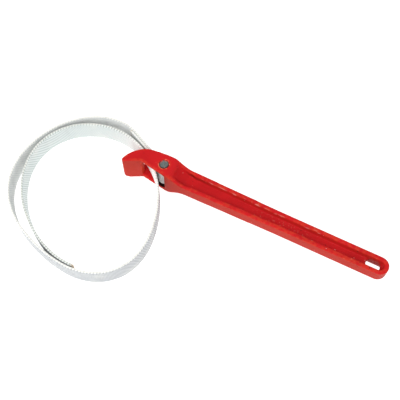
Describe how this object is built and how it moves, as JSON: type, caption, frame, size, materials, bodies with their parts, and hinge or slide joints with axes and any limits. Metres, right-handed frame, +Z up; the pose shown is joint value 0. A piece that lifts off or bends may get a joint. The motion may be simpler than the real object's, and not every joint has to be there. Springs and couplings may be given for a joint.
{
  "type": "strap wrench",
  "caption": "Strap wrench for oil filters: hollow hooked head with a cross pin, channelled shank with a hang slot, and a long woven strap looped through the head.",
  "frame": {"origin": "on the strap pin's axis, in the head's lower face, on which the wrench rests", "axes": "+X along the shank towards the hang slot, +Z up along the pin, -Y towards the mouth of the head"},
  "size_m": [0.401, 0.175, 0.038],
  "materials": {
    "red_enamel": "glossy enamel over a sand casting",
    "bare_steel": "dull bare pin end",
    "webbing": "white woven polyester",
    "thread": "white polyester thread"
  },
  "bodies": {
    "handle": {"handle_casting": "red_enamel", "strap_pin": "bare_steel"},
    "eye": {"strap_eye": "webbing", "stitching": "thread"},
    "strap_far_1": {"strap_far_1": "webbing"},
    "strap_far_2": {"strap_far_2": "webbing"},
    "strap_far_3": {"strap_far_3": "webbing"},
    "strap_far_4": {"strap_far_4": "webbing"},
    "strap_far_5": {"strap_far_5": "webbing"},
    "strap_far_6": {"strap_far_6": "webbing"},
    "strap_left_1": {"strap_left_1": "webbing"},
    "strap_left_2": {"strap_left_2": "webbing"},
    "strap_left_3": {"strap_left_3": "webbing"},
    "strap_flat_1": {"strap_flat_1": "webbing"},
    "strap_flat_2": {"strap_flat_2": "webbing"},
    "strap_bend_1": {"strap_bend_1": "webbing"},
    "strap_bend_2": {"strap_bend_2": "webbing"},
    "strap_bend_3": {"strap_bend_3": "webbing"},
    "strap_bend_4": {"strap_bend_4": "webbing"},
    "strap_near_1": {"strap_near_1": "webbing"},
    "strap_near_2": {"strap_near_2": "webbing"},
    "strap_near_3": {"strap_near_3": "webbing"},
    "strap_head_1": {"strap_head_1": "webbing"},
    "strap_head_2": {"strap_head_2": "webbing"},
    "strap_head_3": {"strap_head_3": "webbing"},
    "strap_head_4": {"strap_head_4": "webbing"},
    "strap_head_5": {"strap_head_5": "webbing"},
    "strap_tail_1": {"strap_tail_1": "webbing"},
    "strap_tail_2": {"strap_tail_2": "webbing"},
    "strap_tail_3": {"strap_tail_3": "webbing"},
    "strap_tail_4": {"strap_tail_4": "webbing"},
    "strap_tip_1": {"strap_tip_1": "webbing"},
    "strap_tip_2": {"strap_tip_2": "webbing"},
    "strap_tip_3": {"strap_tip_3": "webbing"}
  },
  "joints": [
    {"name": "strap_swing", "type": "hinge", "parent": "handle", "child": "eye", "pos_m": [0, 0, 0.019], "axis": [0, 0, 1], "range_deg": [-8, 1]},
    {"name": "strap_tighten", "type": "hinge", "parent": "eye", "child": "strap_far_1", "pos_m": [-0.0473, 0.02395, 0.019], "axis": [0, 0, 1], "range_deg": [0, 1.9]},
    {"name": "bend_far_2", "type": "hinge", "parent": "strap_far_1", "child": "strap_far_2", "pos_m": [-0.07357, 0.02858, 0.019], "axis": [0, 0, 1], "range_deg": [0, 1.95]},
    {"name": "bend_far_3", "type": "hinge", "parent": "strap_far_2", "child": "strap_far_3", "pos_m": [-0.09913, 0.02052, 0.019], "axis": [0, 0, 1], "range_deg": [0, 1.95]},
    {"name": "bend_far_4", "type": "hinge", "parent": "strap_far_3", "child": "strap_far_4", "pos_m": [-0.12017, 0.00378, 0.019], "axis": [0, 0, 1], "range_deg": [0, 1.95]},
    {"name": "bend_far_5", "type": "hinge", "parent": "strap_far_4", "child": "strap_far_5", "pos_m": [-0.13522, -0.01852, 0.019], "axis": [0, 0, 1], "range_deg": [0, 1.95]},
    {"name": "bend_far_6", "type": "hinge", "parent": "strap_far_5", "child": "strap_far_6", "pos_m": [-0.14353, -0.04413, 0.019], "axis": [0, 0, 1], "range_deg": [0, 1.95]},
    {"name": "bend_left_1", "type": "hinge", "parent": "strap_far_6", "child": "strap_left_1", "pos_m": [-0.144, -0.071, 0.019], "axis": [0, 0, 1], "range_deg": [0, 2.9]},
    {"name": "bend_left_2", "type": "hinge", "parent": "strap_left_1", "child": "strap_left_2", "pos_m": [-0.13483, -0.0962, 0.019], "axis": [0, 0, 1], "range_deg": [0, 2.9]},
    {"name": "bend_left_3", "type": "hinge", "parent": "strap_left_2", "child": "strap_left_3", "pos_m": [-0.11703, -0.11632, 0.019], "axis": [0, 0, 1], "range_deg": [0, 2.9]},
    {"name": "bend_flat_1", "type": "hinge", "parent": "strap_left_3", "child": "strap_flat_1", "pos_m": [-0.09395, -0.13019, 0.019], "axis": [0, 0, 1], "range_deg": [0, 3.85]},
    {"name": "bend_flat_2", "type": "hinge", "parent": "strap_flat_1", "child": "strap_flat_2", "pos_m": [-0.06845, -0.13897, 0.019], "axis": [0, 0, 1], "range_deg": [0, 3.85]},
    {"name": "bend_bend_1", "type": "hinge", "parent": "strap_flat_2", "child": "strap_bend_1", "pos_m": [-0.04185, -0.14342, 0.019], "axis": [0, 0, 1], "range_deg": [0, 1.95]},
    {"name": "bend_bend_2", "type": "hinge", "parent": "strap_bend_1", "child": "strap_bend_2", "pos_m": [-0.01515, -0.14061, 0.019], "axis": [0, 0, 1], "range_deg": [0, 1.95]},
    {"name": "bend_bend_3", "type": "hinge", "parent": "strap_bend_2", "child": "strap_bend_3", "pos_m": [0.00788, -0.12705, 0.019], "axis": [0, 0, 1], "range_deg": [0, 1.95]},
    {"name": "bend_bend_4", "type": "hinge", "parent": "strap_bend_3", "child": "strap_bend_4", "pos_m": [0.02143, -0.10405, 0.019], "axis": [0, 0, 1], "range_deg": [0, 1.95]},
    {"name": "bend_near_1", "type": "hinge", "parent": "strap_bend_4", "child": "strap_near_1", "pos_m": [0.02353, -0.0773, 0.019], "axis": [0, 0, 1], "range_deg": [0, 3.38]},
    {"name": "bend_near_2", "type": "hinge", "parent": "strap_near_1", "child": "strap_near_2", "pos_m": [0.0177, -0.05098, 0.019], "axis": [0, 0, 1], "range_deg": [0, 3.38]},
    {"name": "bend_near_3", "type": "hinge", "parent": "strap_near_2", "child": "strap_near_3", "pos_m": [0.00652, -0.02646, 0.019], "axis": [0, 0, 1], "range_deg": [0, 3.38]},
    {"name": "bend_head_1", "type": "hinge", "parent": "strap_near_3", "child": "strap_head_1", "pos_m": [-0.0104, -0.00555, 0.019], "axis": [0, 0, 1], "range_deg": [0, 3.38]},
    {"name": "bend_head_2", "type": "hinge", "parent": "strap_head_1", "child": "strap_head_2", "pos_m": [-0.03258, 0.00969, 0.019], "axis": [0, 0, 1], "range_deg": [0, 3.38]},
    {"name": "bend_head_3", "type": "hinge", "parent": "strap_head_2", "child": "strap_head_3", "pos_m": [-0.05834, 0.01732, 0.019], "axis": [0, 0, 1], "range_deg": [0, 3.38]},
    {"name": "bend_head_4", "type": "hinge", "parent": "strap_head_3", "child": "strap_head_4", "pos_m": [-0.08513, 0.01545, 0.019], "axis": [0, 0, 1], "range_deg": [0, 3.38]},
    {"name": "bend_head_5", "type": "hinge", "parent": "strap_head_4", "child": "strap_head_5", "pos_m": [-0.10946, 0.0041, 0.019], "axis": [0, 0, 1], "range_deg": [0, 3.38]},
    {"name": "bend_tail_1", "type": "hinge", "parent": "strap_head_5", "child": "strap_tail_1", "pos_m": [-0.12757, -0.01566, 0.019], "axis": [0, 0, 1], "range_deg": [0, 4.33]},
    {"name": "bend_tail_2", "type": "hinge", "parent": "strap_tail_1", "child": "strap_tail_2", "pos_m": [-0.13562, -0.04119, 0.019], "axis": [0, 0, 1], "range_deg": [0, 4.33]},
    {"name": "bend_tail_3", "type": "hinge", "parent": "strap_tail_2", "child": "strap_tail_3", "pos_m": [-0.13258, -0.06785, 0.019], "axis": [0, 0, 1], "range_deg": [0, 4.33]},
    {"name": "bend_tail_4", "type": "hinge", "parent": "strap_tail_3", "child": "strap_tail_4", "pos_m": [-0.12079, -0.09203, 0.019], "axis": [0, 0, 1], "range_deg": [0, 4.33]},
    {"name": "bend_tip_1", "type": "hinge", "parent": "strap_tail_4", "child": "strap_tip_1", "pos_m": [-0.10277, -0.11204, 0.019], "axis": [0, 0, 1], "range_deg": [0, 5.75]},
    {"name": "bend_tip_2", "type": "hinge", "parent": "strap_tip_1", "child": "strap_tip_2", "pos_m": [-0.08069, -0.1275, 0.019], "axis": [0, 0, 1], "range_deg": [0, 5.75]},
    {"name": "bend_tip_3", "type": "hinge", "parent": "strap_tip_2", "child": "strap_tip_3", "pos_m": [-0.05572, -0.13759, 0.019], "axis": [0, 0, 1], "range_deg": [0, 5.75]}
  ],
  "couplings": [
    {"joint": "bend_far_2", "follows": "strap_tighten", "ratio": 1},
    {"joint": "bend_far_3", "follows": "strap_tighten", "ratio": 1},
    {"joint": "bend_far_4", "follows": "strap_tighten", "ratio": 1},
    {"joint": "bend_far_5", "follows": "strap_tighten", "ratio": 1},
    {"joint": "bend_far_6", "follows": "strap_tighten", "ratio": 1},
    {"joint": "bend_left_1", "follows": "strap_tighten", "ratio": 1.5},
    {"joint": "bend_left_2", "follows": "strap_tighten", "ratio": 1.5},
    {"joint": "bend_left_3", "follows": "strap_tighten", "ratio": 1.5},
    {"joint": "bend_flat_1", "follows": "strap_tighten", "ratio": 2},
    {"joint": "bend_flat_2", "follows": "strap_tighten", "ratio": 2},
    {"joint": "bend_bend_1", "follows": "strap_tighten", "ratio": 1},
    {"joint": "bend_bend_2", "follows": "strap_tighten", "ratio": 1},
    {"joint": "bend_bend_3", "follows": "strap_tighten", "ratio": 1},
    {"joint": "bend_bend_4", "follows": "strap_tighten", "ratio": 1},
    {"joint": "bend_near_1", "follows": "strap_tighten", "ratio": 1.75},
    {"joint": "bend_near_2", "follows": "strap_tighten", "ratio": 1.75},
    {"joint": "bend_near_3", "follows": "strap_tighten", "ratio": 1.75},
    {"joint": "bend_head_1", "follows": "strap_tighten", "ratio": 1.75},
    {"joint": "bend_head_2", "follows": "strap_tighten", "ratio": 1.75},
    {"joint": "bend_head_3", "follows": "strap_tighten", "ratio": 1.75},
    {"joint": "bend_head_4", "follows": "strap_tighten", "ratio": 1.75},
    {"joint": "bend_head_5", "follows": "strap_tighten", "ratio": 1.75},
    {"joint": "bend_tail_1", "follows": "strap_tighten", "ratio": 2.25},
    {"joint": "bend_tail_2", "follows": "strap_tighten", "ratio": 2.25},
    {"joint": "bend_tail_3", "follows": "strap_tighten", "ratio": 2.25},
    {"joint": "bend_tail_4", "follows": "strap_tighten", "ratio": 2.25},
    {"joint": "bend_tip_1", "follows": "strap_tighten", "ratio": 3},
    {"joint": "bend_tip_2", "follows": "strap_tighten", "ratio": 3},
    {"joint": "bend_tip_3", "follows": "strap_tighten", "ratio": 3}
  ]
}
